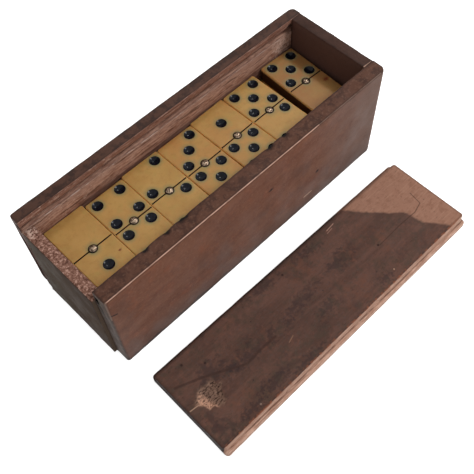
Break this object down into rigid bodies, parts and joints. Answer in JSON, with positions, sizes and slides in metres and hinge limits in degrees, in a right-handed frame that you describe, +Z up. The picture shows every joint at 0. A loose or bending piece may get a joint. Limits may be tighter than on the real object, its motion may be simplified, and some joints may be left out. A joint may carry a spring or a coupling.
{
  "type": "domino storage box",
  "caption": "Worn wooden storage box with a sliding lid that lies beside it, filled with a double-six set of brass-pinned dominoes in layers.",
  "frame": {"origin": "centre of the box's underside", "axes": "+X along the box towards its high end wall, +Y towards the back long wall, away from the lid on the table, +Z up"},
  "size_m": [0.18, 0.1317, 0.0625],
  "materials": {
    "box_wood": "worn dark brown mahogany with old wax",
    "lid_wood": "worn dark brown mahogany, scratched",
    "domino_resin": "polished honey-yellow, worn at the edges",
    "spinner_brass": "polished by handling"
  },
  "bodies": {
    "box": {"bottom_board": "box_wood", "front_wall": "box_wood", "back_wall": "box_wood", "low_end_wall": "box_wood", "high_end_wall": "box_wood"},
    "lid": {"sliding_lid": "lid_wood"},
    "tile_0_0": {"domino_0_0": "domino_resin"},
    "tile_0_2": {"domino_0_2": "domino_resin"},
    "tile_0_3": {"domino_0_3": "domino_resin"},
    "tile_0_4": {"domino_0_4": "domino_resin"},
    "tile_0_6": {"domino_0_6": "domino_resin"},
    "tile_1_1": {"domino_1_1": "domino_resin"},
    "tile_1_2": {"domino_1_2": "domino_resin"},
    "tile_1_3": {"domino_1_3": "domino_resin", "spinner_1_3": "spinner_brass"},
    "tile_1_4": {"domino_1_4": "domino_resin", "spinner_1_4": "spinner_brass"},
    "tile_1_6": {"domino_1_6": "domino_resin", "spinner_1_6": "spinner_brass"},
    "tile_2_3": {"domino_2_3": "domino_resin", "spinner_2_3": "spinner_brass"},
    "tile_2_4": {"domino_2_4": "domino_resin", "spinner_2_4": "spinner_brass"},
    "tile_2_6": {"domino_2_6": "domino_resin", "spinner_2_6": "spinner_brass"},
    "tile_3_3": {"domino_3_3": "domino_resin", "spinner_3_3": "spinner_brass"},
    "tile_3_4": {"domino_3_4": "domino_resin", "spinner_3_4": "spinner_brass"},
    "tile_3_6": {"domino_3_6": "domino_resin", "spinner_3_6": "spinner_brass"},
    "tile_4_5": {"domino_4_5": "domino_resin", "spinner_4_5": "spinner_brass"},
    "tile_4_6": {"domino_4_6": "domino_resin", "spinner_4_6": "spinner_brass"},
    "tile_5_5": {"domino_5_5": "domino_resin", "spinner_5_5": "spinner_brass"},
    "tile_5_6": {"domino_5_6": "domino_resin", "spinner_5_6": "spinner_brass"},
    "tile_6_6": {"domino_6_6": "domino_resin", "spinner_6_6": "spinner_brass"},
    "tile_0_1": {"domino_0_1": "domino_resin", "spinner_0_1": "spinner_brass"},
    "tile_4_4": {"domino_4_4": "domino_resin", "spinner_4_4": "spinner_brass"},
    "tile_2_2": {"domino_2_2": "domino_resin", "spinner_2_2": "spinner_brass"},
    "tile_3_5": {"domino_3_5": "domino_resin", "spinner_3_5": "spinner_brass"},
    "tile_1_5": {"domino_1_5": "domino_resin", "spinner_1_5": "spinner_brass"},
    "tile_2_5": {"domino_2_5": "domino_resin", "spinner_2_5": "spinner_brass"},
    "tile_0_5": {"domino_0_5": "domino_resin", "spinner_0_5": "spinner_brass"}
  },
  "joints": [
    {"name": "lid_lift", "type": "slide", "parent": "box", "child": "lid", "axis": [0, 0, 1], "range_m": [0, 0.07]},
    {"name": "lift_out_0_0", "type": "slide", "parent": "box", "child": "tile_0_0", "axis": [0, 0, 1], "range_m": [0, 0.06]},
    {"name": "lift_out_0_2", "type": "slide", "parent": "box", "child": "tile_0_2", "axis": [0, 0, 1], "range_m": [0, 0.06]},
    {"name": "lift_out_0_3", "type": "slide", "parent": "box", "child": "tile_0_3", "axis": [0, 0, 1], "range_m": [0, 0.06]},
    {"name": "lift_out_0_4", "type": "slide", "parent": "box", "child": "tile_0_4", "axis": [0, 0, 1], "range_m": [0, 0.06]},
    {"name": "lift_out_0_6", "type": "slide", "parent": "box", "child": "tile_0_6", "axis": [0, 0, 1], "range_m": [0, 0.06]},
    {"name": "lift_out_1_1", "type": "slide", "parent": "box", "child": "tile_1_1", "axis": [0, 0, 1], "range_m": [0, 0.06]},
    {"name": "lift_out_1_2", "type": "slide", "parent": "box", "child": "tile_1_2", "axis": [0, 0, 1], "range_m": [0, 0.06]},
    {"name": "lift_out_1_3", "type": "slide", "parent": "tile_0_0", "child": "tile_1_3", "axis": [0, 0, 1], "range_m": [0, 0.05]},
    {"name": "lift_out_1_4", "type": "slide", "parent": "tile_0_2", "child": "tile_1_4", "axis": [0, 0, 1], "range_m": [0, 0.05]},
    {"name": "lift_out_1_6", "type": "slide", "parent": "tile_0_3", "child": "tile_1_6", "axis": [0, 0, 1], "range_m": [0, 0.05]},
    {"name": "lift_out_2_3", "type": "slide", "parent": "tile_0_4", "child": "tile_2_3", "axis": [0, 0, 1], "range_m": [0, 0.05]},
    {"name": "lift_out_2_4", "type": "slide", "parent": "tile_0_6", "child": "tile_2_4", "axis": [0, 0, 1], "range_m": [0, 0.05]},
    {"name": "lift_out_2_6", "type": "slide", "parent": "tile_1_1", "child": "tile_2_6", "axis": [0, 0, 1], "range_m": [0, 0.05]},
    {"name": "lift_out_3_3", "type": "slide", "parent": "tile_1_2", "child": "tile_3_3", "axis": [0, 0, 1], "range_m": [0, 0.05]},
    {"name": "lift_out_3_4", "type": "slide", "parent": "tile_1_3", "child": "tile_3_4", "axis": [0, 0, 1], "range_m": [0, 0.04]},
    {"name": "lift_out_3_6", "type": "slide", "parent": "tile_1_4", "child": "tile_3_6", "axis": [0, 0, 1], "range_m": [0, 0.04]},
    {"name": "lift_out_4_5", "type": "slide", "parent": "tile_1_6", "child": "tile_4_5", "axis": [0, 0, 1], "range_m": [0, 0.04]},
    {"name": "lift_out_4_6", "type": "slide", "parent": "tile_2_3", "child": "tile_4_6", "axis": [0, 0, 1], "range_m": [0, 0.04]},
    {"name": "lift_out_5_5", "type": "slide", "parent": "tile_2_4", "child": "tile_5_5", "axis": [0, 0, 1], "range_m": [0, 0.04]},
    {"name": "lift_out_5_6", "type": "slide", "parent": "tile_2_6", "child": "tile_5_6", "axis": [0, 0, 1], "range_m": [0, 0.04]},
    {"name": "lift_out_6_6", "type": "slide", "parent": "tile_3_3", "child": "tile_6_6", "axis": [0, 0, 1], "range_m": [0, 0.04]},
    {"name": "lift_out_0_1", "type": "slide", "parent": "tile_3_4", "child": "tile_0_1", "axis": [0, 0, 1], "range_m": [0, 0.03]},
    {"name": "lift_out_4_4", "type": "slide", "parent": "tile_3_6", "child": "tile_4_4", "axis": [0, 0, 1], "range_m": [0, 0.03]},
    {"name": "lift_out_2_2", "type": "slide", "parent": "tile_4_5", "child": "tile_2_2", "axis": [0, 0, 1], "range_m": [0, 0.03]},
    {"name": "lift_out_3_5", "type": "slide", "parent": "tile_4_6", "child": "tile_3_5", "axis": [0, 0, 1], "range_m": [0, 0.03]},
    {"name": "lift_out_1_5", "type": "slide", "parent": "tile_5_5", "child": "tile_1_5", "axis": [0, 0, 1], "range_m": [0, 0.03]},
    {"name": "lift_out_2_5", "type": "slide", "parent": "tile_5_6", "child": "tile_2_5", "axis": [0, 0, 1], "range_m": [0, 0.03]},
    {"name": "lift_out_0_5", "type": "slide", "parent": "tile_6_6", "child": "tile_0_5", "axis": [0, 0, 1], "range_m": [0, 0.03]}
  ]
}
